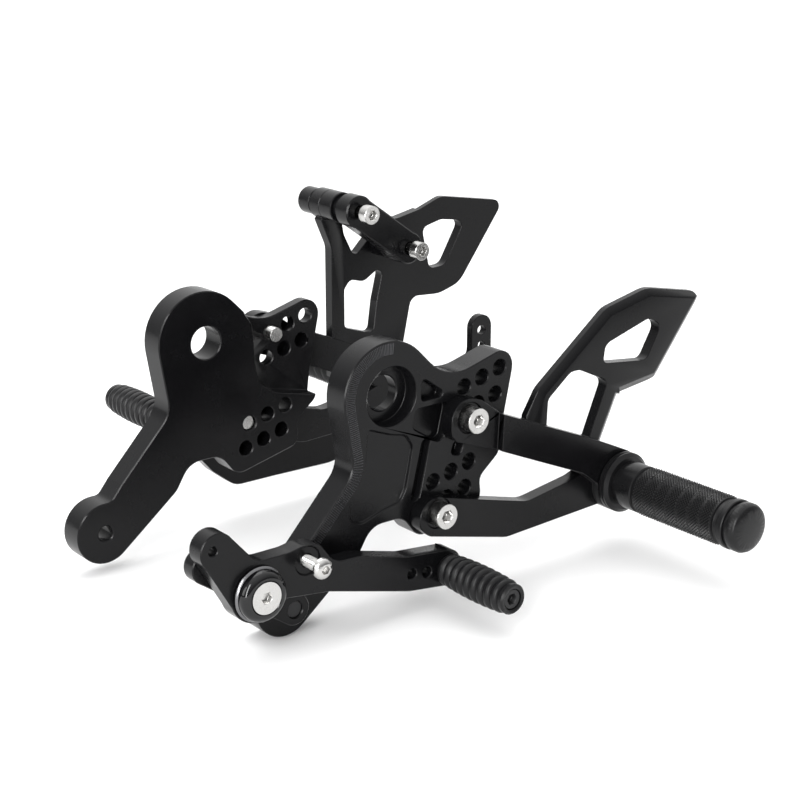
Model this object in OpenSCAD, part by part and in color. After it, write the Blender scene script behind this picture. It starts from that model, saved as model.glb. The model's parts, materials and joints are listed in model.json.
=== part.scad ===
/* [Layout] */
// left plate's inner face to right plate's inner face, as displayed
pair_gap = 105; // [60:1:260]
// right bore forward of the left bore
right_x = -30; // [-60:1:60]
// right bore above the left bore
right_z = 6; // [-20:1:20]

/* [Main plates] */
// plate thickness
plate_t = 15; // [10:0.5:20]
// radius of the frame bore's through stretch
bore_r = 9; // [6:0.5:12]
// radius of the left counterbore
counter_r = 15; // [12:0.5:18]
// depth of the left counterbore
counter_d = 8; // [3:0.5:11]
// lower lobe radius
lobe_r = 16.5; // [13:0.5:20]
// lobe hole radius
lobe_hole_r = 4.2; // [3:0.1:6]
// radius of the ear holes
ear_hole_r = 4.15; // [3:0.05:5]
// depth of the relief on the right ear
ear_relief = 8; // [0:0.5:11]
// depth of the left face pockets
pocket_d = 5; // [1:0.5:9]

/* [Peg brackets] */
// pad and lower arm thickness
pad_t = 8; // [6:0.5:12]
// upper arm thickness
arm_t = 12; // [8:0.5:16]
// heel guard thickness
guard_t = 7; // [4:0.5:10]
// step between the arms' back and the guard's back
guard_back = 0.5; // [0.2:0.1:2]
// guard bevel across the face
bevel_w = 4; // [1:0.5:5]
// guard bevel through the thickness
bevel_d = 2.5; // [0.5:0.5:5]
// seat depth round the bracket screw heads
seat_d = 1; // [0.5:0.5:4]

/* [Foot pegs] */
// knurled barrel radius
peg_r = 13.3; // [10:0.1:16]
// peg length from flange to cap seat
peg_len = 85.5; // [60:0.5:110]
// flange radius
flange_r = 16.5; // [14:0.5:20]
// end cap radius
cap_r = 13; // [9:0.5:15]
// end cap height
cap_h = 7.5; // [4:0.5:12]

/* [Shift pedal] */
// lever thickness
lever_t = 10; // [6:0.5:14]
// carrier link thickness
carrier_t = 8; // [5:0.5:12]
// toe peg radius
toe_r = 7.8; // [6:0.1:10]
// toe peg length
toe_len = 50; // [35:1:70]
// pivot bush radius
bush_r = 7; // [5:0.5:9]

/* [Brake pedal] */
// brake lever thickness
brake_t = 8; // [6:0.5:12]
// push-rod lug thickness
lug_t = 5; // [3:0.5:8]
// master-cylinder boss height off the guard
spacer_len = 16; // [8:0.5:24]
// cylinder link thickness
link_t = 11; // [6:0.5:14]

/* [Fits] */
// radial running clearance of the levers on their bushes
run_c = 0.05; // [0.01:0.01:0.1]
// side clearance of the levers
side_c = 0.3; // [0.2:0.05:1]
// radial clearance of a screw in its hole
screw_c = 0.15; // [0.1:0.05:0.5]

/* [Hidden] */
$fn = 64;
m8_r = 4;
m8_head_r = 6.5;
m8_head_h = 8;
m8_hex = 3.46;
bolt_reach = 20;
peg_reach = 25;
m6_r = 3;
m6_head_r = 5;
m6_head_h = 6;
m6_hex = 2.9;
eps = 0.01;
ear_u = [11.7, 3.0];
ear_v = [-2.8, -13.6];
upper_hole = [45.8, -3.7];
lower_hole = [26, -49.7];
lobe_c = [-64.5, -91.5];
peg_c = [146.6, -72.5];
bracket_up = -ear_v;
shift_c = [-92, -72];
shift_hub_r = 14.5;
shift_toe = [20, -88.5];
shift_arm_end = [-113, -46.5];
shift_arm_r = 9;
rod_c = [-64, -63.2];
carrier_tip = [-112.3, -57.8];
brake_toe = [-8, -49];
lug_c = [214.7, -34.5];
post_c = [92.5, 60];
mid_boss_c = [127, 35.5];
peg_c_r = peg_c + bracket_up;
lever_o = carrier_t + side_c;
brake_o = arm_t + side_c;
hub_o = brake_o + brake_t + side_c;
right_y = pair_gap + plate_t;

function unit(v) = v / norm(v);
function corner(a, b, c, r) =
  let (u = unit(a - b))
  let (v = unit(c - b))
  let (h = acos(max(-1, min(1, u * v))) / 2)
  let (o = b + unit(u + v) * r / sin(h))
  let (p = b + u * r / tan(h) - o)
  let (q = b + v * r / tan(h) - o)
  let (s = atan2(p[0] * q[1] - p[1] * q[0], p * q))
  let (n = max(2, ceil(abs(s) * (r + 6) / 240)))
  [for (i = [0 : n])
    let (t = s * i / n)
    o + [p[0] * cos(t) - p[1] * sin(t), p[0] * sin(t) + p[1] * cos(t)]];
function smooth(k) =
  let (n = len(k))
  [for (i = [0 : n - 1])
    let (b = [k[i][0], k[i][1]])
    let (a = [k[(i + n - 1) % n][0], k[(i + n - 1) % n][1]])
    let (c = [k[(i + 1) % n][0], k[(i + 1) % n][1]])
    each k[i][2] > 0 ? corner(a, b, c, k[i][2]) : [b]];

module left_side() {
  translate([0, -plate_t, 0]) mirror([0, 1, 0]) children();
}

module right_side() {
  translate([right_x, right_y, right_z]) children();
}

module slab(pts, y0, y1) {
  translate([0, y1, 0]) rotate([90, 0, 0]) linear_extrude(y1 - y0) polygon(pts);
}

module rod(c, y0, y1, r) {
  translate([c[0], y0, c[1]]) rotate([-90, 0, 0]) cylinder(h = y1 - y0, r = r);
}

module cone(c, y0, y1, r0, r1) {
  translate([c[0], y0, c[1]]) rotate([-90, 0, 0]) cylinder(h = y1 - y0, r1 = r0, r2 = r1);
}

module lathe(c, y0, prof) {
  translate([c[0], y0, c[1]]) rotate([-90, 0, 0]) rotate_extrude() polygon(prof);
}

module edge_bevel(a, b, y1, w, d, e0 = 8, e1 = 8) {
  u = unit([b[0] - a[0], b[1] - a[1]]);
  s = [a[0] - u[0] * e0, a[1] - u[1] * e0];
  run = norm([b[0] - a[0], b[1] - a[1]]) + e0 + e1;
  k = 3;
  multmatrix([[u[1], 0, u[0], s[0]], [0, 1, 0, 0], [-u[0], 0, u[1], s[1]]])
    linear_extrude(run) polygon([[-k, y1 - d - k * d / w], [w + k, y1 + k * d / w], [-k, y1 + k]]);
}

plate_k = [
  [lobe_c[0], lobe_c[1], 0], [lobe_c[0], lobe_c[1] + lobe_r, 0],
  [-60.5, lobe_c[1] + lobe_r, 4], [-54, -67, 5], [-23.2, -34.2, 14],
  [-33.4, 28, 26.6], [9.2, 28, 26.6], [35.2, 2, 26], [81.3, 14.7, 9], [71.6, -30, 12], [70, -43.5, 6],
  [57, -54, 6], [58.5, -67.5, 7], [17, -77.5, 8], [7, -64.3, 10], [-12.5, -64.3, 12], [-21, -78, 10],
  [lobe_c[0] + lobe_r * sin(38), lobe_c[1] - lobe_r * cos(38), 0]];

module ear_holes(c, rows, cols) {
  for (i = cols) for (j = rows) rod(c + i * ear_u + j * ear_v, -plate_t - 1, 1, ear_hole_r);
}

module main_plate() {
  difference() {
    union() {
      slab(smooth(plate_k), -plate_t, 0);
      rod(lobe_c, -plate_t, 0, lobe_r);
    }
    rod([0, 0], -plate_t - 1, 1, bore_r);
    rod(lobe_c, -plate_t - 1, 1, lobe_hole_r);
    ear_holes(upper_hole, [0, 1], [0, 1, 2]);
    ear_holes(lower_hole, [0, 1], [0, 1, 2]);
  }
}

module left_main_plate() {
  color([0.06, 0.06, 0.065]) left_side() difference() {
    main_plate();
    rod([0, 0], -counter_d, 1, counter_r);
    slab(smooth([[18.5, 6.5, 2], [18.5, -6, 2], [36, -6, 2]]), -pocket_d, 1);
    slab(smooth([[15, -9.5, 3], [37, -9.5, 3], [33, -27, 3], [29, -29, 3], [13, -19, 3]]), -pocket_d, 1);
    slab(smooth([[19, -27, 2], [25, -23.5, 2], [17, -57, 2], [11.5, -57, 2]]), -pocket_d, 1);
    slab(smooth([[39.5, -31, 2], [46, -33, 2], [43.5, -39, 2], [37.5, -37.5, 2]]), -pocket_d, 1);
  }
}

module right_main_plate() {
  color([0.06, 0.06, 0.065]) right_side() difference() {
    main_plate();
    slab(smooth([[22, 40, 0], [24, 13, 6], [29.8, 4, 8], [30.3, -16, 10], [33, -29, 12], [44, -35.5, 12],
      [90, -45.5, 0], [90, 40, 0]]), -plate_t - 1, ear_relief - plate_t);
  }
}

upper_arm_k = [
  [62.6, -18.5, 0], [132, -47.4, 30], [153.5, -57.2, 8], [161, -66, 0], [150, -80, 0], [131.5, -72, 0],
  [119, -62.5, 4], [61.6, -38, 0]];
lower_arm_k = [
  [12.3, -52.3, 10], [83, -71, 16], [116, -66, 4], [122, -64, 0], [150, -66, 0], [150, -84.6, 0],
  [134, -84.6, 20], [97, -86.4, 20], [69, -87.6, 14], [17.5, -74.6, 8], [11, -69, 6]];
pad_k = [[32, -4, 10.5], [51, -9.5, 8], [63.6, -18.8, 0], [62.6, -38.3, 0], [37, -29.3, 10], [31, -27, 8]];

module bracket_arms() {
  difference() {
    union() {
      slab(smooth(upper_arm_k), 0, arm_t);
      slab(smooth(lower_arm_k), 0, pad_t);
      slab(smooth(pad_k), 0, pad_t);
      rod(peg_c, 0, arm_t, flange_r);
    }
    rod(upper_hole + ear_v, -1, arm_t + 1, ear_hole_r);
    rod(lower_hole + ear_v, -1, arm_t + 1, ear_hole_r);
    rod(upper_hole + ear_v, pad_t - seat_d, arm_t + 1, 8);
    rod(lower_hole + ear_v, pad_t - seat_d, arm_t + 1, 8);
    rod(peg_c, -1, arm_t + 1, m8_r + screw_c);
  }
}

guard_l = [
  [83.2, -40, 0], [84.2, -25.5, 0], [92.4, -12.5, 10], [139, 23, 12], [169.5, 29.6, 20], [212, 21.3, 5],
  [177.5, -22, 12], [149.5, -25.5, 6], [136.5, -53, 0], [130, -55, 0], [110, -50, 0]];
window_l1 = [
  [96.3, -39, 2], [97.2, -18.5, 4], [113, -6.4, 6], [119.5, -6.6, 6], [140.2, -16.2, 4], [125, -51.5, 2]];
window_l2 = [
  [136.2, -6, 3], [137.6, 4.2, 5], [169, 13.2, 6], [179.8, 9.2, 5], [168.5, -9.8, 5]];

module left_peg_bracket() {
  color([0.06, 0.06, 0.065]) left_side() {
    bracket_arms();
    difference() {
      slab(smooth(guard_l), guard_back, guard_t);
      slab(smooth(window_l1), -1, guard_t + 1);
      slab(smooth(window_l2), -1, guard_t + 1);
      edge_bevel(guard_l[1], guard_l[2], guard_t, bevel_w, bevel_d, e1 = 2);
      for (i = [2 : 5]) edge_bevel(guard_l[i], guard_l[i + 1], guard_t, bevel_w, bevel_d);
      edge_bevel(guard_l[6], guard_l[7], guard_t, bevel_w, bevel_d, e1 = 0);
      edge_bevel(guard_l[7], guard_l[8], guard_t, bevel_w, bevel_d, e0 = 0);
    }
  }
}

guard_r = [
  [93, -40, 0], [93, 36, 10], [86, 52, 0], [92.5, 60, 0], [99.5, 56, 0], [101.8, 42, 8],
  [109, 28, 3], [127.5, 45.8, 4], [141.2, 46.7, 8], [156, 49.6, 12], [172, 55.4, 12], [220.5, 47.3, 4.5],
  [186.5, 2, 16], [171, -2.4, 20], [150, -1, 6], [141.5, -40, 0], [118, -46, 0]];
window_r1 = [
  [101.8, -12, 3], [101.8, 10.5, 3], [106, 15.5, 4], [115.5, 13, 6], [130, 21.5, 3], [124.6, 0, 10],
  [122, -18.5, 3]];
window_r2 = [
  [158, 38.5, 4], [172, 41.8, 6], [190, 39.2, 4], [175.2, 14.2, 6], [163.5, 13.6, 4]];

module right_peg_bracket() {
  color([0.06, 0.06, 0.065]) right_side() difference() {
    union() {
      translate([bracket_up[0], 0, bracket_up[1]]) bracket_arms();
      difference() {
        slab(smooth(guard_r), guard_back, guard_t);
        slab(smooth(window_r1), -1, guard_t + 1);
        slab(smooth(window_r2), -1, guard_t + 1);
        for (i = [9 : 12])
          edge_bevel(guard_r[i], guard_r[i + 1], guard_t, bevel_w, bevel_d, e0 = 0, e1 = 0);
      }
      rod(post_c, 0, guard_t + 2, 8.5);
      rod(post_c, guard_t + 2, guard_t + 4, 6.5);
      rod(post_c, guard_t + 4, guard_t + 14, 7.5);
    }
    rod(post_c, -1, guard_t + 8, m6_r + screw_c);
    rod(mid_boss_c, -1, guard_t + 1, m6_r + screw_c);
  }
}

module cap_screw(c, y0, reach) {
  y1 = y0 + m8_head_h;
  difference() {
    union() {
      rod(c, y0 - reach, y0 + eps, m8_r);
      rod(c, y0, y1, m8_head_r);
    }
    rod(c, y1 - m8_head_h * 0.55, y1 + 1, m8_hex, $fn = 6);
  }
}

module left_bracket_bolts() {
  color([0.72, 0.72, 0.74]) left_side() {
    cap_screw(upper_hole + ear_v, pad_t - seat_d, bolt_reach);
    cap_screw(lower_hole + ear_v, pad_t - seat_d, bolt_reach);
  }
}

module right_bracket_bolts() {
  color([0.72, 0.72, 0.74]) right_side() {
    cap_screw(upper_hole, pad_t - seat_d, bolt_reach);
    cap_screw(lower_hole, pad_t - seat_d, bolt_reach);
  }
}

module foot_peg(c, y0) {
  lathe(c, y0, [
    [0, 0], [flange_r - 1, 0], [flange_r, 1], [flange_r, 4], [flange_r - 2, 6], [peg_r - 1.6, 6],
    [peg_r - 1.6, 9.5], [peg_r - 0.5, 10.2], [peg_r - 0.5, 19.5], [peg_r - 1.5, 20], [peg_r - 1.5, 21],
    [peg_r, 21.6], [peg_r, peg_len - 3.5], [peg_r - 1.6, peg_len - 3], [peg_r - 1.6, peg_len - 1.6],
    [peg_r - 0.6, peg_len - 1.2], [peg_r - 0.6, peg_len], [7, peg_len], [7, peg_len - 6],
    [0, peg_len - 6]]);
}

module end_cap(c, y0) {
  lathe(c, y0, [
    [0, -5.5], [6.9, -5.5], [6.9, 0], [cap_r - 0.8, 0], [cap_r, 0.8], [cap_r, cap_h - 3.4],
    [cap_r - 0.9, cap_h - 1.6], [cap_r - 3, cap_h - 0.6], [cap_r - 7, cap_h], [0, cap_h]]);
}

module peg_screw(c, y0, y1) {
  rod(c, y0, y1, m8_r);
  rod(c, y0 - m8_head_h, y0 + eps, m8_head_r);
}

module left_foot_peg() {
  color([0.05, 0.05, 0.055]) left_side() difference() {
    foot_peg(peg_c, arm_t);
    rod(peg_c, arm_t - 1, arm_t + peg_reach + 1, m8_r + screw_c);
  }
}

module left_peg_end_cap() {
  color([0.05, 0.05, 0.055]) left_side() end_cap(peg_c, arm_t + peg_len);
}

module left_peg_bolt() {
  color([0.1, 0.1, 0.1]) left_side() peg_screw(peg_c, 0, arm_t + peg_reach);
}

module pedal_carrier() {
  u = unit(carrier_tip - lobe_c);
  w = [-u[1], u[0]] * 8;
  color([0.06, 0.06, 0.065]) left_side() difference() {
    union() {
      slab([lobe_c + w, carrier_tip + w, carrier_tip - w, lobe_c - w], 0, carrier_t);
      rod(lobe_c, 0, carrier_t, 8);
      rod(carrier_tip, 0, carrier_t, 8);
    }
    rod(lobe_c, -1, carrier_t + 1, m8_r + screw_c);
    rod(shift_c, -1, carrier_t + 1, m8_r + screw_c);
    rod(carrier_tip, -1, carrier_t + 1, m6_r);
  }
}

module carrier_screw() {
  color([0.08, 0.08, 0.08]) left_side() {
    rod(lobe_c, -plate_t + 1, carrier_t - 1, m8_r);
  }
}

lever_k = [
  [-106.6, -40.2, 0], [-92.2, -56.5, 8], [-74, -56.5, 20], [-67, -55.2, 8], [-57, -56.2, 7],
  [-48.5, -68, 9], [-34, -68.6, 12], [-5, -76.3, 20], [20.7, -78.9, 0], [18.9, -98, 0],
  [-3, -95.2, 20], [-52, -82, 12], [-84, -78, 0], [-92, -84, 0], [-103.1, -81.1, 0], [-119.9, -52.2, 0]];

module shift_pedal() {
  color([0.06, 0.06, 0.065]) left_side() difference() {
    union() {
      slab(smooth(lever_k), lever_o, lever_o + lever_t);
      rod(shift_c, lever_o, lever_o + lever_t, shift_hub_r);
      rod(shift_arm_end, lever_o, lever_o + lever_t, shift_arm_r);
      rod(shift_toe, lever_o, lever_o + lever_t, 9.6);
    }
    rod(shift_c, lever_o - 1, lever_o + lever_t + 1, bush_r + run_c);
    rod([-115.3, -45.7], lever_o - 1, lever_o + lever_t + 1, 2.25);
    rod(rod_c, lever_o - 1, lever_o + lever_t + 1, m6_r + screw_c);
    rod(rod_c, lever_o + lever_t - 1.2, lever_o + lever_t + 1, 7);
    rod(shift_toe - [12.3, -0.8], lever_o - 1, lever_o + lever_t + 1, 2.75);
    rod(shift_toe - [21.8, -2.3], lever_o - 1, lever_o + lever_t + 1, 2.75);
    rod(shift_toe, lever_o - 1, lever_o + lever_t + 1, m6_r + screw_c);
  }
}

module shift_pivot_bush() {
  color([0.5, 0.45, 0.3]) left_side() difference() {
    rod(shift_c, carrier_t, lever_o + lever_t + side_c, bush_r);
    rod(shift_c, carrier_t - 1, lever_o + lever_t + 1, m8_r + screw_c);
  }
}

washer_o = lever_o + lever_t + side_c;

module shift_pivot_washer() {
  color([0.6, 0.6, 0.62]) left_side() difference() {
    lathe(shift_c, washer_o, [[0, 0], [13, 0], [13.5, 0.5], [13.5, 1.2], [12.8, 2], [0, 2]]);
    rod(shift_c, washer_o - 1, washer_o + 3, m8_r + screw_c);
  }
}

module shift_pivot_cap() {
  color([0.05, 0.05, 0.05]) left_side() difference() {
    lathe(shift_c, washer_o + 2, [[0, 0], [10.25, 0], [10.25, 4], [9.4, 5], [0, 5]]);
    rod(shift_c, washer_o + 1, washer_o + 8, m8_r + screw_c);
    cone(shift_c, washer_o + 3, washer_o + 7.01, m8_r + screw_c, 8.16);
  }
}

module shift_pivot_bolt() {
  color([0.8, 0.8, 0.82]) left_side() difference() {
    union() {
      rod(shift_c, 1, washer_o + 4, m8_r);
      cone(shift_c, washer_o + 3, washer_o + 7, m8_r, 8);
    }
    rod(shift_c, washer_o + 4.5, washer_o + 8, m6_hex, $fn = 6);
  }
}

module shift_rod_bolt() {
  head_o = lever_o + lever_t + 11;
  color([0.8, 0.8, 0.82]) left_side() difference() {
    union() {
      rod(rod_c, lever_o, head_o, m6_r);
      lathe(rod_c, head_o, [
        [0, -0.2], [5.25, -0.2], [5.25, 0.6], [4.4, 2.2], [2.8, 3.2], [0, 3.2]]);
    }
    rod(rod_c, head_o + 1.2, head_o + 4, 2.3, $fn = 6);
  }
}

module toe_peg(c, y0) {
  pitch = (toe_len - 5) / 9;
  difference() {
    lathe(c, y0, concat([[0, 0], [toe_r - 1.6, 0]],
      [for (i = [0 : 8]) each [[toe_r - 1.6, 1.2 + i * pitch], [toe_r, 2 + i * pitch],
        [toe_r, 4.2 + i * pitch], [toe_r - 1.6, 5 + i * pitch]]],
      [[toe_r - 1.6, toe_len - 1.2], [toe_r - 2.6, toe_len], [0, toe_len]]));
    rod(c, y0 - 1, y0 + toe_len + 1, m6_r + screw_c);
    rod(c, y0 + toe_len - 7, y0 + toe_len + 1, m6_head_r + 0.1 + screw_c);
  }
}

module toe_screw(c, y0, y1) {
  rod(c, y0, y1 - m6_head_h, m6_r);
  difference() {
    rod(c, y1 - m6_head_h - 1, y1 - 1, m6_head_r);
    rod(c, y1 - 4, y1, m6_hex, $fn = 6);
  }
}

module shift_toe_peg() {
  color([0.05, 0.05, 0.055]) left_side() toe_peg(shift_toe, lever_o + lever_t);
}

module shift_toe_screw() {
  color([0.1, 0.1, 0.1]) left_side()
    toe_screw(shift_toe, lever_o + 1, lever_o + lever_t + toe_len);
}

module right_foot_peg() {
  color([0.05, 0.05, 0.055]) right_side() difference() {
    foot_peg(peg_c_r, hub_o);
    rod(peg_c_r, hub_o - 1, hub_o + peg_reach + 1, m8_r + screw_c);
  }
}

module right_peg_end_cap() {
  color([0.05, 0.05, 0.055]) right_side() end_cap(peg_c_r, hub_o + peg_len);
}

module right_peg_bolt() {
  color([0.1, 0.1, 0.1]) right_side() peg_screw(peg_c_r, 0, hub_o + peg_reach);
}

brake_k = [
  [152, -42.4, 12], [98, -73.2, 24], [47, -72, 14], [28, -63, 16], [2, -34, 9], [-24, -46, 9],
  [9, -72.4, 0], [18.3, -83.3, 10], [33, -95, 12], [60, -95, 0], [101, -95.6, 30], [160, -75, 14]];
lug_k = [
  [150, -46, 6], [197, -60, 8], [206.7, -48, 9], [206.7, -25, 7.8], [222.7, -25, 7.8], [222.7, -62, 20],
  [206, -74, 14], [150, -73.5, 6]];

module brake_pedal() {
  color([0.06, 0.06, 0.065]) right_side() difference() {
    union() {
      slab(smooth(brake_k), brake_o, brake_o + brake_t);
      rod(peg_c_r, brake_o, brake_o + brake_t, flange_r);
    }
    rod(peg_c_r, brake_o - 1, brake_o + brake_t + 1, bush_r + 2 + run_c);
    rod(brake_toe, brake_o - 1, brake_o + brake_t + 1, m6_r + screw_c);
  }
}

module brake_rod_lug() {
  color([0.06, 0.06, 0.065]) right_side() difference() {
    slab(smooth(lug_k), brake_o, brake_o + lug_t);
    slab(smooth(brake_k), brake_o - 1, brake_o + lug_t + 1);
    rod(peg_c_r, brake_o - 1, brake_o + lug_t + 1, flange_r);
    rod(lug_c, brake_o - 1, brake_o + lug_t + 1, 3);
    rod(lug_c - [0, 9.5], brake_o - 1, brake_o + lug_t + 1, 2.5);
  }
}

module brake_pivot_bush() {
  color([0.5, 0.45, 0.3]) right_side() difference() {
    rod(peg_c_r, arm_t, hub_o, bush_r + 2);
    rod(peg_c_r, arm_t - 1, hub_o + 1, m8_r + screw_c);
  }
}

module brake_toe_peg() {
  color([0.05, 0.05, 0.055]) right_side() toe_peg(brake_toe, brake_o + brake_t);
}

module brake_toe_screw() {
  color([0.1, 0.1, 0.1]) right_side()
    toe_screw(brake_toe, brake_o + 1, brake_o + brake_t + toe_len);
}

link_o = -spacer_len;

module cylinder_link() {
  u = unit(mid_boss_c - post_c);
  w = [-u[1], u[0]] * 8.6;
  color([0.06, 0.06, 0.065]) right_side() difference() {
    union() {
      slab([post_c + w, mid_boss_c + w, mid_boss_c - w, post_c - w], link_o - link_t, link_o);
      rod(post_c, link_o - link_t, link_o, 9);
      rod(mid_boss_c, link_o - link_t, link_o, 9);
    }
    rod(post_c, link_o - link_t - 1, link_o + 1, m6_r + screw_c);
    rod(mid_boss_c, link_o - link_t - 1, link_o + 1, m6_r + screw_c);
  }
}

module cylinder_spacers() {
  color([0.06, 0.06, 0.065]) right_side() for (c = [post_c, mid_boss_c]) difference() {
    rod(c, link_o, 0, 8.5);
    rod(c, link_o - 1, 1, m6_r + screw_c);
  }
}

module cylinder_bolts() {
  y = link_o - link_t;
  color([0.8, 0.8, 0.82]) right_side() for (c = [post_c, mid_boss_c]) difference() {
    union() {
      rod(c, y - 5.5, guard_t - 1, m6_r);
      rod(c, y - 11, y - 5, m6_head_r);
    }
    rod(c, y - 12, y - 8, m6_hex, $fn = 6);
  }
}

left_main_plate();
left_peg_bracket();
left_bracket_bolts();
left_foot_peg();
left_peg_end_cap();
left_peg_bolt();
pedal_carrier();
carrier_screw();
shift_pedal();
shift_pivot_bush();
shift_pivot_washer();
shift_pivot_cap();
shift_pivot_bolt();
shift_rod_bolt();
shift_toe_peg();
shift_toe_screw();
right_main_plate();
right_peg_bracket();
right_bracket_bolts();
right_foot_peg();
right_peg_end_cap();
right_peg_bolt();
brake_pedal();
brake_rod_lug();
brake_pivot_bush();
brake_toe_peg();
brake_toe_screw();
cylinder_link();
cylinder_spacers();
cylinder_bolts();
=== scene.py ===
import json
import math
import bpy
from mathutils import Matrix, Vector


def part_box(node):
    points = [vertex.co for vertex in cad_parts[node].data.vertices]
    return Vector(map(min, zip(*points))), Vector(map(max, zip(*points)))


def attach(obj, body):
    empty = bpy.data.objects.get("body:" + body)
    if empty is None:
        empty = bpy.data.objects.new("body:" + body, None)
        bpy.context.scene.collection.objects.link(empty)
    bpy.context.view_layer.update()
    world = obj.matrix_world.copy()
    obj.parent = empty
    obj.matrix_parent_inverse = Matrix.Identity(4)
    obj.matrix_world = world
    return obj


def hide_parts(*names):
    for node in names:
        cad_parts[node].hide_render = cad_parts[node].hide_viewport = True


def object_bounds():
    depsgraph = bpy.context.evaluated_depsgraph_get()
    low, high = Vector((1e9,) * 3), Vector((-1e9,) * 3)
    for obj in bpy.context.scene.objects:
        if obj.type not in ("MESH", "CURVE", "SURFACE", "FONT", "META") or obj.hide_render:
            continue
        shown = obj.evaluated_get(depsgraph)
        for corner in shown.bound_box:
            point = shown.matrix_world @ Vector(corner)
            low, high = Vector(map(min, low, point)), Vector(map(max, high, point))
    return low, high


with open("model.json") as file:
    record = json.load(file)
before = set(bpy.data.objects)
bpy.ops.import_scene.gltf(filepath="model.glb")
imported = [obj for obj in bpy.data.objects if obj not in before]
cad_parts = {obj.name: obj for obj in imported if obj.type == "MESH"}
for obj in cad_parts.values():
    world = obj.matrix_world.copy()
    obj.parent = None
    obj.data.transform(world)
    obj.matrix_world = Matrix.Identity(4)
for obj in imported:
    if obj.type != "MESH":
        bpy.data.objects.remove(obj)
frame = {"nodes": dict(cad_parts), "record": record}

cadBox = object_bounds()
bodies = frame["record"]["behaviour"]["bodies"]
bodyOfNode = {node: body for body, nodes in bodies.items() for node in nodes}
slotOfNode = {part["node"]: part["material_slot"] for part in frame["record"]["subparts"]}
mm = 0.001
mergeWithin = 0.000002


def deselectAll():
    if bpy.context.object and bpy.context.object.mode != "OBJECT":
        bpy.ops.object.mode_set(mode="OBJECT")
    bpy.ops.object.select_all(action="DESELECT")


def makeActive(piece):
    deselectAll()
    piece.select_set(True)
    bpy.context.view_layer.objects.active = piece


def applyPlace(piece):
    makeActive(piece)
    bpy.ops.object.transform_apply(location=True, rotation=True, scale=True)


def applyModifiers(piece):
    makeActive(piece)
    for modifier in list(piece.modifiers):
        bpy.ops.object.modifier_apply(modifier=modifier.name)


def smoothByAngle(piece, degrees):
    makeActive(piece)
    bpy.ops.object.shade_smooth_by_angle(angle=math.radians(degrees))


def joinPieces(pieces, name):
    deselectAll()
    for piece in pieces:
        piece.select_set(True)
    bpy.context.view_layer.objects.active = pieces[0]
    bpy.ops.object.join()
    joined = bpy.context.object
    joined.name = name
    return joined


def cutAway(piece, cutter):
    cut = piece.modifiers.new("cut", "BOOLEAN")
    cut.operation = "DIFFERENCE"
    cut.solver = "EXACT"
    cut.object = cutter
    applyModifiers(piece)
    bpy.data.objects.remove(cutter)


# materials
anodisedLook = {"color": (0.004, 0.004, 0.0045), "metallic": 0.0, "specular": 0.17, "roughness": 0.24,
                "grainPerMetre": 2600, "grainBump": 0.05, "cloudPerMetre": 60, "roughnessSpread": 0.1}
pegLook = {"color": (0.006, 0.006, 0.0065), "metallic": 0.0, "specular": 0.24, "roughness": 0.33,
           "grainPerMetre": 3200, "grainBump": 0.12, "cloudPerMetre": 90, "roughnessSpread": 0.12}
steelLook = {"color": (0.5, 0.495, 0.485), "metallic": 1.0, "specular": 0.5, "roughness": 0.25,
             "grainPerMetre": 5200, "grainBump": 0.05, "cloudPerMetre": 240, "roughnessSpread": 0.14}
screwLook = {"color": (0.012, 0.012, 0.013), "metallic": 0.3, "specular": 0.4, "roughness": 0.36,
             "grainPerMetre": 4200, "grainBump": 0.06, "cloudPerMetre": 200, "roughnessSpread": 0.12}
bronzeLook = {"color": (0.42, 0.29, 0.14), "metallic": 1.0, "specular": 0.5, "roughness": 0.4,
              "grainPerMetre": 5200, "grainBump": 0.12, "cloudPerMetre": 200, "roughnessSpread": 0.15}
rimLook = {"color": (0.16, 0.16, 0.165), "metallic": 1.0, "specular": 0.5, "roughness": 0.24,
           "grainPerMetre": 4200, "grainBump": 0.04, "cloudPerMetre": 150, "roughnessSpread": 0.1}
# the ridges are a lighter, half-metallic grey instead of the plate's black: painted highlight, so each ridge
# shows as a bright line
ridgeHighlightLook = {"color": (0.06, 0.06, 0.064), "metallic": 0.6, "specular": 0.5, "roughness": 0.3,
             "grainPerMetre": 4200, "grainBump": 0.04, "cloudPerMetre": 150, "roughnessSpread": 0.1}
capLook = {"color": (0.003, 0.003, 0.0035), "metallic": 0.0, "specular": 0.4, "roughness": 0.1,
           "grainPerMetre": 3000, "grainBump": 0.01, "cloudPerMetre": 120, "roughnessSpread": 0.04}
surface = {"grainDetail": 3, "cloudDetail": 4, "cloudLow": 0.3, "cloudHigh": 0.7, "bumpDepth": 0.0002}


def newMaterial(name, color, metallic, roughness, specular):
    material = bpy.data.materials.new(name)
    material.use_nodes = True
    shader = material.node_tree.nodes["Principled BSDF"]
    shader.inputs["Base Color"].default_value = (*color, 1)
    shader.inputs["Metallic"].default_value = metallic
    shader.inputs["Roughness"].default_value = roughness
    shader.inputs["Specular IOR Level"].default_value = specular
    return material, material.node_tree, shader


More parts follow.
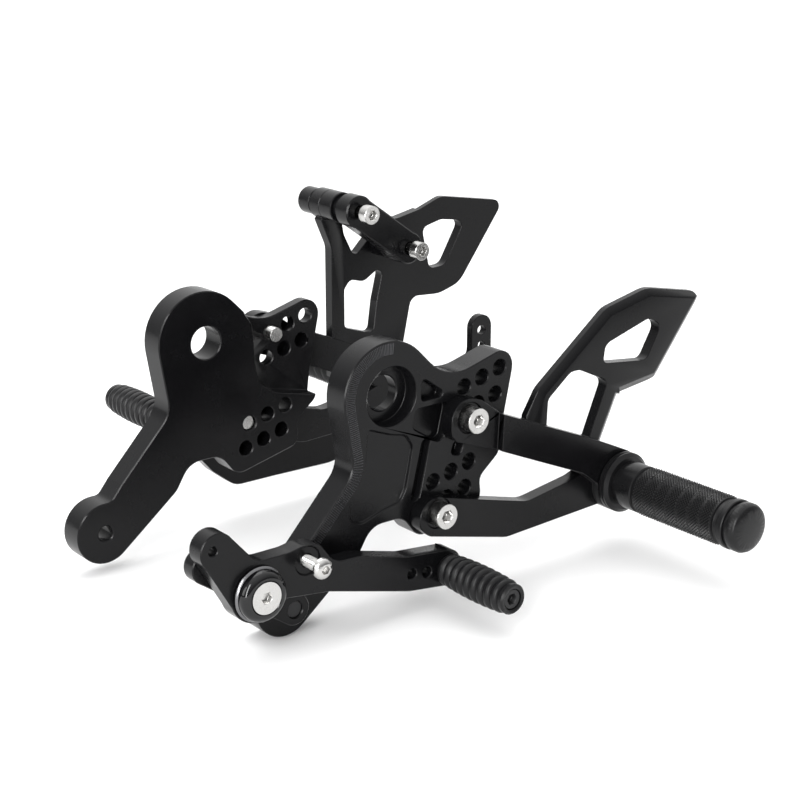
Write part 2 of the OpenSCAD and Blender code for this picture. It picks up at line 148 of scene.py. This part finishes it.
# a fine grain in the bump, and soft clouds in the roughness
def metalFinish(name, look):
    material, tree, shader = newMaterial(name, look["color"], look["metallic"], look["roughness"],
                                         look["specular"])
    place = tree.nodes.new("ShaderNodeTexCoord")
    grain = tree.nodes.new("ShaderNodeTexNoise")
    grain.inputs["Scale"].default_value = look["grainPerMetre"]
    grain.inputs["Detail"].default_value = surface["grainDetail"]
    cloud = tree.nodes.new("ShaderNodeTexNoise")
    cloud.inputs["Scale"].default_value = look["cloudPerMetre"]
    cloud.inputs["Detail"].default_value = surface["cloudDetail"]
    spread = tree.nodes.new("ShaderNodeMapRange")
    spread.inputs["From Min"].default_value = surface["cloudLow"]
    spread.inputs["From Max"].default_value = surface["cloudHigh"]
    spread.inputs["To Min"].default_value = look["roughness"] - look["roughnessSpread"] / 2
    spread.inputs["To Max"].default_value = look["roughness"] + look["roughnessSpread"] / 2
    bump = tree.nodes.new("ShaderNodeBump")
    bump.inputs["Strength"].default_value = look["grainBump"]
    bump.inputs["Distance"].default_value = surface["bumpDepth"]
    link = tree.links.new
    link(place.outputs["Object"], grain.inputs["Vector"])
    link(place.outputs["Object"], cloud.inputs["Vector"])
    link(cloud.outputs["Fac"], spread.inputs["Value"])
    link(spread.outputs["Result"], shader.inputs["Roughness"])
    link(grain.outputs["Fac"], bump.inputs["Height"])
    link(bump.outputs["Normal"], shader.inputs["Normal"])
    return material


ridgeHighlightFinish = metalFinish("ridgePaintedHighlight", ridgeHighlightLook)
capFinish = metalFinish("polishedCap", capLook)
materials = {
    "anodised_black": metalFinish("anodisedBlack", anodisedLook),
    "anodised_peg": metalFinish("knurledBlack", pegLook),
    "stainless": metalFinish("stainlessSteel", steelLook),
    "black_screw": metalFinish("blackScrew", screwLook),
    "bronze": metalFinish("sinteredBronze", bronzeLook),
    "bare_aluminium": metalFinish("turnedRim", rimLook),
}
for name, node in frame["nodes"].items():
    node.data.materials.clear()
    node.data.materials.append(materials[slotOfNode[name]])
print("materials made")


def finishPiece(piece, body, slotName, material, *nodes):
    piece.data.materials.clear()
    piece.data.materials.append(material)
    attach(piece, body)
    if nodes:
        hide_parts(*nodes)


def standFor(nodeName, piece, material=None):
    slotName = slotOfNode[nodeName]
    finishPiece(piece, bodyOfNode[nodeName], slotName, material or materials[slotName], nodeName)


# CAD pieces with their edges broken by so many mm, so the chamfers catch the light
edgeBreak = {
    "left_main_plate": 0.55, "right_main_plate": 0.55, "left_peg_bracket": 0.3, "right_peg_bracket": 0.3,
    "pedal_carrier": 0.5, "shift_pedal": 0.45, "brake_pedal": 0.5, "brake_rod_lug": 0.4, "cylinder_link": 0.8,
    "left_bracket_bolts": 0.25, "right_bracket_bolts": 0.25, "cylinder_bolts": 0.25,
    "shift_pivot_bolt": 0.15, "shift_toe_screw": 0.25, "brake_toe_screw": 0.25,
    "left_peg_end_cap": 0.2, "right_peg_end_cap": 0.2,
}
chamfer = {"sharperThan": 32, "smoothBelow": 28, "flatWithin": 0.5}
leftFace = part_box("left_main_plate")[0].y
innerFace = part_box("right_main_plate")[0].y

# recesses milled into faces: outline in the plate's own x and z, and the depth, in mm
legPocket = {
    "outline": [(-14.5, -14), (-15.8, -31.9), (-20.5, -42.5), (-26, -49.5), (-25.5, -58.5), (-18.5, -61.5),
                (-5, -57.2), (5, -55.5), (8.5, -50), (13, -28), (9, -21.5), (0, -19.5)],
    "face": leftFace, "depth": 1.3, "corner": 2.0,
}
earStep = {
    "outline": [(-6.5, 29), (-4.0, 20.8), (-1.1, 12.7), (-0.1, 2.6), (0.3, -5.8), (2.6, -14.7),
                (8.2, -22.5), (16.6, -28.0), (29.2, -31.6), (60, -32), (60, 40), (-6.5, 40)],
    "face": innerFace, "depth": 1.1, "corner": 0,
}
recesses = {"left_main_plate": [legPocket], "right_main_plate": [earStep]}
milling = {"startsBefore": 1.0, "cornerSteps": 5}


def cadCopy(nodeName):
    deselectAll()
    node = frame["nodes"][nodeName]
    piece = node.copy()
    piece.data = node.data.copy()
    piece.name = nodeName + "_finished"
    piece.parent = None
    bpy.context.collection.objects.link(piece)
    makeActive(piece)
    bpy.ops.object.mode_set(mode="EDIT")
    bpy.ops.mesh.select_all(action="SELECT")
    bpy.ops.mesh.remove_doubles(threshold=mergeWithin)
    bpy.ops.object.mode_set(mode="OBJECT")
    return piece


def mill(piece, recess):
    deselectAll()
    start = recess["face"] - milling["startsBefore"] * mm
    reach = (recess["depth"] + milling["startsBefore"]) * mm
    bpy.ops.mesh.primitive_circle_add(vertices=len(recess["outline"]), radius=1, fill_type="NGON",
                                      location=(0, 0, 0))
    block = bpy.context.object
    for vertex, (x, z) in zip(block.data.vertices, recess["outline"]):
        vertex.co = (x * mm, start, z * mm)
    bpy.ops.object.mode_set(mode="EDIT")
    bpy.ops.mesh.select_all(action="SELECT")
    bpy.ops.mesh.extrude_region_move(TRANSFORM_OT_translate={"value": (0, reach, 0)})
    bpy.ops.mesh.select_all(action="SELECT")
    bpy.ops.mesh.normals_make_consistent(inside=False)
    bpy.ops.mesh.select_mode(type="EDGE")
    bpy.ops.mesh.select_all(action="DESELECT")
    bpy.ops.object.mode_set(mode="OBJECT")
    if recess["corner"]:
        for edge in block.data.edges:
            a, b = (block.data.vertices[v].co for v in edge.vertices)
            edge.select = abs(a.y - b.y) > reach / 2
        bpy.ops.object.mode_set(mode="EDIT")
        bpy.ops.mesh.bevel(offset=recess["corner"] * mm, segments=milling["cornerSteps"], affect="EDGES")
        bpy.ops.object.mode_set(mode="OBJECT")
    cutAway(piece, block)


def breakEdges(piece, width):
    makeActive(piece)
    bpy.ops.object.mode_set(mode="EDIT")
    bpy.ops.mesh.select_all(action="SELECT")
    bpy.ops.mesh.remove_doubles(threshold=mergeWithin)
    bpy.ops.mesh.dissolve_limited(angle_limit=math.radians(chamfer["flatWithin"]))
    bpy.ops.object.mode_set(mode="OBJECT")
    bevel = piece.modifiers.new("brokenEdge", "BEVEL")
    bevel.width = width * mm
    bevel.segments = 1
    bevel.use_clamp_overlap = False
    bevel.limit_method = "ANGLE"
    bevel.angle_limit = math.radians(chamfer["sharperThan"])
    applyModifiers(piece)
    smoothByAngle(piece, chamfer["smoothBelow"])


for nodeName, width in edgeBreak.items():
    piece = cadCopy(nodeName)
    for recess in recesses.get(nodeName, []):
        mill(piece, recess)
    breakEdges(piece, width)
    standFor(nodeName, piece)
print("edges broken and recesses milled")


# turned pieces: a closed profile of (radius, distance along the axis) in mm, spun round
def turnedPiece(name, profile, sides):
    deselectAll()
    bpy.ops.mesh.primitive_circle_add(vertices=len(profile), radius=1, fill_type="NOTHING",
                                      location=(0, 0, 0))
    piece = bpy.context.object
    piece.name = name
    for vertex, (radius, at) in zip(piece.data.vertices, profile):
        vertex.co = (radius * mm, 0, at * mm)
    bpy.ops.object.mode_set(mode="EDIT")
    bpy.ops.mesh.select_all(action="SELECT")
    bpy.ops.mesh.spin(steps=sides, angle=math.tau, center=(0, 0, 0), axis=(0, 0, 1))
    bpy.ops.mesh.select_all(action="SELECT")
    bpy.ops.mesh.remove_doubles(threshold=mergeWithin)
    bpy.ops.mesh.delete_loose()
    bpy.ops.mesh.select_all(action="SELECT")
    bpy.ops.mesh.normals_make_consistent(inside=False)
    bpy.ops.object.mode_set(mode="OBJECT")
    return piece


# outward is -1 on the left side of the motorcycle and 1 on the right
def ontoAxis(piece, axis, start, outward):
    piece.rotation_euler = (math.radians(-90 * outward), 0, 0)
    piece.location = (axis.x, start, axis.z)
    applyPlace(piece)


def axisOf(nodeName):
    low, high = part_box(nodeName)
    return Vector(((low.x + high.x) / 2, 0, (low.z + high.z) / 2))


def innerEnd(nodeName, outward):
    low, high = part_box(nodeName)
    return high.y if outward < 0 else low.y


def turnFor(nodeName, shape, outward, material=None):
    piece = turnedPiece(nodeName + "_finished", shape["profile"], shape["sides"])
    ontoAxis(piece, axisOf(nodeName), innerEnd(nodeName, outward), outward)
    smoothByAngle(piece, shape["smoothBelow"])
    standFor(nodeName, piece, material)
    return piece


# toe pegs: soft rings, a little fuller in the middle; the end is given back from the peg's length
toePeg = {
    "sides": 72, "smoothBelow": 40, "rings": 9, "length": 50, "first": 1.2, "pitch": 5.0,
    "thin": 7.9, "thick": 9.3, "swell": 0.8, "groove": 1.7, "foot": (6.2, 0), "bore": 3.1,
    "ring": [(0.0, 1.0), (0.12, 0.5), (0.26, 0.16), (0.42, 0.0), (0.58, 0.0), (0.74, 0.16), (0.88, 0.5)],
    "end": [(6.2, 3.8), (7.6, 3.0), (7.7, 0.9), (6.9, 0), (5.9, 0), (5.3, 0.5), (5.3, 7), (3.1, 7.1)],
}


def toeRadius(at):
    fullness = math.sin(math.pi * min(at / toePeg["length"], 1)) ** toePeg["swell"]
    return toePeg["thin"] + (toePeg["thick"] - toePeg["thin"]) * fullness


def toePegProfile():
    profile = [toePeg["foot"]]
    for k in range(toePeg["rings"]):
        at = toePeg["first"] + k * toePeg["pitch"]
        top = toeRadius(at + toePeg["pitch"] / 2)
        for share, drop in toePeg["ring"]:
            profile.append((top - drop * toePeg["groove"], at + share * toePeg["pitch"]))
    profile += [(radius, toePeg["length"] - back) for radius, back in toePeg["end"]]
    return profile + [(toePeg["bore"], 0)]


toePeg["profile"] = toePegProfile()
for nodeName, outward in (("shift_toe_peg", -1), ("brake_toe_peg", 1)):
    turnFor(nodeName, toePeg, outward)

# shift pivot: a black washer with a bright turned rim, and the domed cap in front of it
pivotWasher = {
    "sides": 96, "smoothBelow": 25, "brightFrom": 12.7, "flatFacing": 0.9,
    "profile": [(4.2, 0), (13.2, 0), (13.5, 0.4), (13.5, 1.1), (13.1, 1.6), (12.6, 2.0), (4.2, 2.0)],
}
pivotCap = {
    "sides": 96, "smoothBelow": 35,
    "profile": [(4.3, 0), (12.2, 0), (12.5, 0.3), (12.5, 1.7), (12.2, 2.8), (11.4, 3.9), (10.4, 4.6),
                (9.6, 5.0), (8.5, 5.0), (8.2, 4.6), (4.3, 1.2)],
}
pivotAxis = axisOf("shift_pivot_washer")
washer = turnFor("shift_pivot_washer", pivotWasher, -1)
washer.data.materials.append(materials["anodised_black"])
for face in washer.data.polygons:
    reach = (Vector((face.center.x, 0, face.center.z)) - pivotAxis).length
    onRim = reach > pivotWasher["brightFrom"] * mm and abs(face.normal.y) < pivotWasher["flatFacing"]
    face.material_index = 0 if onRim else 1
turnFor("shift_pivot_cap", pivotCap, -1, capFinish)

# the rod screw: threaded shank and a rounded head with its socket
rodScrew = {
    "sides": 48, "smoothBelow": 30, "turns": 21, "foot": [(0, 0), (2.6, 0)],
    "thread": [(2.65, 0.3), (3.0, 0.65), (3.0, 0.85)],
    "head": [(2.6, 20.9), (5.25, 20.9), (5.25, 21.6), (4.95, 22.5), (4.3, 23.3), (3.4, 23.9), (2.35, 24.2),
             (0, 24.2)],
    "socket": [(0, 21.8), (2.3, 21.8), (2.3, 26), (0, 26)], "socketSides": 6,
}
threads = [(radius, at + k) for k in range(rodScrew["turns"]) for radius, at in rodScrew["thread"]]
screw = turnedPiece("shift_rod_bolt_finished", rodScrew["foot"] + threads + rodScrew["head"],
                    rodScrew["sides"])
cutAway(screw, turnedPiece("rodSocket", rodScrew["socket"], rodScrew["socketSides"]))
ontoAxis(screw, axisOf("shift_rod_bolt"), innerEnd("shift_rod_bolt", -1), -1)
smoothByAngle(screw, rodScrew["smoothBelow"])
standFor("shift_rod_bolt", screw)

# spacers behind the link, each with a turned neck next to it; the neck is given back from the far end
spacer = {
    "sides": 72, "smoothBelow": 30, "radius": 8.5, "foot": [(3.15, 0), (8.1, 0), (8.5, 0.4)],
    "neck": [(8.5, 5.6), (8.1, 5), (6.6, 4.8), (6.6, 1.2), (7.6, 0.8), (7.6, 0), (3.15, 0)],
}
low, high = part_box("cylinder_spacers")
spacerLength = (high.y - low.y) / mm
spacerProfile = spacer["foot"] + [(radius, spacerLength - back) for radius, back in spacer["neck"]]
middle = spacer["radius"] * mm
spacers = []
for x, z in ((low.x + middle, high.z - middle), (high.x - middle, low.z + middle)):
    piece = turnedPiece("spacer", spacerProfile, spacer["sides"])
    ontoAxis(piece, Vector((x, 0, z)), high.y, -1)
    spacers.append(piece)
bothSpacers = joinPieces(spacers, "cylinder_spacers_finished")
smoothByAngle(bothSpacers, spacer["smoothBelow"])
standFor("cylinder_spacers", bothSpacers)
print("turned pieces made")


# foot pegs: a turned body with the barrel at the knurl's root, then the diamonds
footPeg = {
    "sides": 96, "smoothBelow": 30,
    "profile": [(4.2, 0), (15.6, 0), (16.5, 0.8), (16.5, 2.3), (15.8, 2.6), (15.8, 3.2), (16.5, 3.5),
                (16.5, 4.4), (14.5, 6.0), (11.7, 6.0), (11.7, 9.5), (12.8, 10.2), (12.8, 19.3),
                (12.2, 19.9), (11.6, 20.1), (11.6, 20.8), (12.5, 21.4), (12.5, 76.5), (11.6, 76.9),
                (11.4, 77.6), (11.4, 79.4), (11.8, 80.0), (12.9, 80.4), (13.2, 80.9), (13.2, 83.4),
                (12.8, 83.9), (11.8, 84.1), (11.8, 85.5), (4.2, 85.5)],
}
knurl = {"tip": 13.3, "root": 12.5, "bite": 0.15, "round": 46, "from": 21.6, "to": 76.4, "bands": 7,
         "rowsPerBand": 4, "gap": 0.45}


def diamondTooth(width, length):
    bpy.ops.mesh.primitive_cone_add(vertices=4, radius1=1, depth=1, end_fill_type="NOTHING",
                                    location=(0, 0, 0))
    tooth = bpy.context.object
    height = (knurl["tip"] - knurl["root"] + knurl["bite"]) * mm
    tooth.scale = (length / 2, width / 2, height)
    applyPlace(tooth)
    tooth.rotation_euler = (0, math.radians(90), 0)
    applyPlace(tooth)
    return tooth


def roundArray(piece, count):
    deselectAll()
    bpy.ops.object.empty_add(location=(0, 0, 0), rotation=(0, 0, math.radians(360 / count)))
    step = bpy.context.object
    ring = piece.modifiers.new("round", "ARRAY")
    ring.use_relative_offset = False
    ring.use_object_offset = True
    ring.offset_object = step
    ring.count = count
    applyModifiers(piece)
    bpy.data.objects.remove(step)


def lengthArray(piece, name, count, pitch):
    line = piece.modifiers.new(name, "ARRAY")
    line.use_relative_offset = False
    line.use_constant_offset = True
    line.constant_offset_displace = (0, 0, pitch * mm)
    line.count = count


# every other row of diamonds is turned by half a tooth
def knurledBarrel(side, nodeName, outward):
    turnFor(nodeName, footPeg, outward)
    axis = axisOf(nodeName)
    width = 2 * math.pi * knurl["root"] / knurl["round"] * mm
    bandPitch = (knurl["to"] - knurl["from"]) / knurl["bands"]
    rowPitch = (bandPitch - knurl["gap"]) / knurl["rowsPerBand"]
    teeth = []
    for stagger in (0, 1):
        tooth = diamondTooth(width, rowPitch * mm)
        tooth.location = (knurl["root"] * mm + (knurl["tip"] - knurl["root"]) * mm / 2, 0,
                          (rowPitch / 2 + stagger * rowPitch / 2) * mm)
        applyPlace(tooth)
        if stagger:
            tooth.rotation_euler = (0, 0, math.pi / knurl["round"])
            applyPlace(tooth)
        roundArray(tooth, knurl["round"])
        lengthArray(tooth, "rows", knurl["rowsPerBand"] - stagger, rowPitch)
        lengthArray(tooth, "bands", knurl["bands"], bandPitch)
        applyModifiers(tooth)
        teeth.append(tooth)
    diamonds = joinPieces(teeth, side + "_knurl")
    first = (knurl["from"] + knurl["gap"] / 2) * mm
    ontoAxis(diamonds, axis, innerEnd(nodeName, outward) + outward * first, outward)
    bpy.ops.object.shade_flat()
    finishPiece(diamonds, "chassis", "anodised_peg", materials["anodised_peg"])


for side, nodeName, outward in (("left", "left_foot_peg", -1), ("right", "right_foot_peg", 1)):
    knurledBarrel(side, nodeName, outward)
print("pegs knurled")


# fine ridges along the front edge of the left plate's outer face, from the leg up round the bore
ridge = {"pitch": 1.05, "long": 5.6, "inset": 0.9, "wide": 0.6, "high": 0.3, "sunk": 0.1,
         "topWide": 0.2, "topLong": 0.92}
ridgeRun = {"legEnd": (-57, -62), "boreTop": (4, 28), "endGap": 3.0, "aimOver": 2.0,
            "faceWithin": 0.00001}


# the outer loop of the edges that only one triangle of the face uses
def faceOutline(node, level):
    mesh = node.data
    onFace = {v.index for v in mesh.vertices if abs(v.co.y - level) < ridgeRun["faceWithin"]}
    uses = {}
    for polygon in mesh.polygons:
        if all(v in onFace for v in polygon.vertices):
            for key in polygon.edge_keys:
                uses[key] = uses.get(key, 0) + 1
    links = {}
    for (a, b), count in uses.items():
        if count == 1:
            links.setdefault(a, []).append(b)
            links.setdefault(b, []).append(a)
    loops = []
    while links:
        here = next(iter(links))
        loop = []
        while here in links:
            loop.append(here)
            ahead = [v for v in links.pop(here) if v in links]
            here = ahead[0] if ahead else None
        loops.append([Vector((mesh.vertices[v].co.x, mesh.vertices[v].co.z)) / mm for v in loop])
    return max(loops, key=lambda loop: max(p.length for p in loop))


def runLength(points):
    return sum((b - a).length for a, b in zip(points, points[1:]))


def frontEdgeOf(outline):
    count = len(outline)
    first, last = (min(range(count), key=lambda k: (outline[k] - Vector(spot)).length)
                   for spot in (ridgeRun["legEnd"], ridgeRun["boreTop"]))
    onward = [outline[(first + k) % count] for k in range((last - first) % count + 1)]
    backward = [outline[(first - k) % count] for k in range((first - last) % count + 1)]
    return min(onward, backward, key=runLength)


def alongEdge(points, distance):
    for a, b in zip(points, points[1:]):
        run = (b - a).length
        if distance <= run:
            return a + (b - a) * distance / run
        distance -= run
    return points[-1]


def ridgeModel():
    bpy.ops.mesh.primitive_cube_add(size=1)
    piece = bpy.context.object
    piece.scale = (ridge["wide"] * mm, (ridge["high"] + ridge["sunk"]) * mm, ridge["long"] * mm)
    applyPlace(piece)
    bpy.ops.object.mode_set(mode="EDIT")
    bpy.ops.mesh.select_mode(type="VERT")
    bpy.ops.mesh.select_all(action="DESELECT")
    bpy.ops.object.mode_set(mode="OBJECT")
    for vertex in piece.data.vertices:
        vertex.select = vertex.co.y < 0
    bpy.ops.object.mode_set(mode="EDIT")
    bpy.ops.transform.resize(value=(ridge["topWide"], 1, ridge["topLong"]), center_override=(0, 0, 0))
    bpy.ops.object.mode_set(mode="OBJECT")
    return piece


oneRidge = ridgeModel()
frontEdge = frontEdgeOf(faceOutline(frame["nodes"]["left_main_plate"], leftFace))
ridges = []
distance = ridgeRun["endGap"]
while distance < runLength(frontEdge) - ridgeRun["endGap"]:
    spot = alongEdge(frontEdge, distance)
    ahead = alongEdge(frontEdge, distance + ridgeRun["aimOver"])
    behind = alongEdge(frontEdge, distance - ridgeRun["aimOver"])
    along = (ahead - behind).normalized()
    inward = Vector((along.y, -along.x))
    centre = spot + inward * (ridge["inset"] + ridge["long"] / 2)
    copy = oneRidge.copy()
    copy.data = oneRidge.data.copy()
    bpy.context.collection.objects.link(copy)
    copy.rotation_euler = (0, -math.atan2(inward.y, inward.x) + math.pi / 2, 0)
    copy.location = (centre.x * mm, leftFace - (ridge["high"] - ridge["sunk"]) / 2 * mm, centre.y * mm)
    ridges.append(copy)
    distance += ridge["pitch"]
bpy.data.objects.remove(oneRidge)
ridgeBand = joinPieces(ridges, "left_edge_ridges")
applyPlace(ridgeBand)
# the ridge band takes the lighter painted-highlight material instead of the plate's black anodised one
finishPiece(ridgeBand, "chassis", "anodised_black", ridgeHighlightFinish)
print("ridges cut")


# camera at the photo's viewing angle
cameraPlace = {"at": (-0.4973, -0.6532, 0.252), "lookAt": (0.0049, -0.015, -0.0025), "lens": 78.75,
               "sensor": 36, "near": 0.05, "far": 60}
bpy.ops.object.camera_add(location=cameraPlace["at"])
camera = bpy.context.object
camera.data.lens = cameraPlace["lens"]
camera.data.sensor_width = cameraPlace["sensor"]
camera.data.clip_start = cameraPlace["near"]
camera.data.clip_end = cameraPlace["far"]
toward = Vector(cameraPlace["lookAt"]) - Vector(cameraPlace["at"])
camera.rotation_euler = toward.to_track_quat("-Z", "Y").to_euler()
bpy.context.scene.camera = camera

# floor and light
studio = {"floorDrop": 0.0006, "floorSize": 40, "floorWhite": 0.93, "floorRoughness": 0.7, "overhead": 1.5,
          "overheadFalloff": 1.4, "behind": 1.0, "backWay": (0.5, 0.62, 0.0), "around": 0.15,
          "lampsAimAt": (0.03, 0.05, -0.02)}
deselectAll()
floorHeight = cadBox[0][2] - studio["floorDrop"]
bpy.ops.mesh.primitive_plane_add(size=studio["floorSize"], location=(0, 0, floorHeight))
floor = bpy.context.object
floor.name = "studioFloor"
floor.data.materials.append(newMaterial("studioWhite", (studio["floorWhite"],) * 3, 0,
                                        studio["floorRoughness"], 0.0)[0])

# the room is bright overhead and behind the pair, dim on the camera's side
world = bpy.data.worlds.new("studioSky")
bpy.context.scene.world = world
world.use_nodes = True
sky = world.node_tree
background = sky.nodes["Background"]
direction = sky.nodes.new("ShaderNodeTexCoord")
towardBack = sky.nodes.new("ShaderNodeVectorMath")
towardBack.operation = "DOT_PRODUCT"
towardBack.inputs[1].default_value = Vector(studio["backWay"]).normalized()
split = sky.nodes.new("ShaderNodeSeparateXYZ")
sky.links.new(direction.outputs["Generated"], towardBack.inputs[0])
sky.links.new(direction.outputs["Generated"], split.inputs["Vector"])


def skyMath(operation, first, second):
    node = sky.nodes.new("ShaderNodeMath")
    node.operation = operation
    for socket, value in zip(node.inputs, (first, second)):
        if isinstance(value, (int, float)):
            socket.default_value = value
        else:
            sky.links.new(value, socket)
    return node.outputs["Value"]


upward = skyMath("MAXIMUM", split.outputs["Z"], 0.0)
backward = skyMath("MAXIMUM", towardBack.outputs["Value"], 0.0)
overheadGlow = skyMath("MULTIPLY", skyMath("POWER", upward, studio["overheadFalloff"]), studio["overhead"])
backGlow = skyMath("MULTIPLY", backward, studio["behind"])
total = skyMath("ADD", skyMath("ADD", overheadGlow, backGlow), studio["around"])
background.inputs["Color"].default_value = (1, 1, 1, 1)
sky.links.new(total, background.inputs["Strength"])
bpy.context.scene.view_settings.view_transform = "Standard"

softBoxes = [
    {"name": "topBox", "at": (0.1, 0.5, 1.3), "size": 1.0, "power": 5},
    {"name": "leftBox", "at": (-1.5, 0.1, 0.5), "size": 0.9, "power": 9},
    {"name": "frontStrip", "at": (-1.25, -1.0, 0.45), "size": 0.25, "tall": 1.6, "power": 24},
]
for box in softBoxes:
    bpy.ops.object.light_add(type="AREA", location=box["at"])
    lamp = bpy.context.object
    lamp.name = box["name"]
    lamp.data.shape = "RECTANGLE"
    lamp.data.size = box["size"]
    lamp.data.size_y = box.get("tall", box["size"])
    lamp.data.energy = box["power"]
    aim = Vector(studio["lampsAimAt"]) - Vector(box["at"])
    lamp.rotation_euler = aim.to_track_quat("-Z", "Y").to_euler()
print("camera, floor and light set")
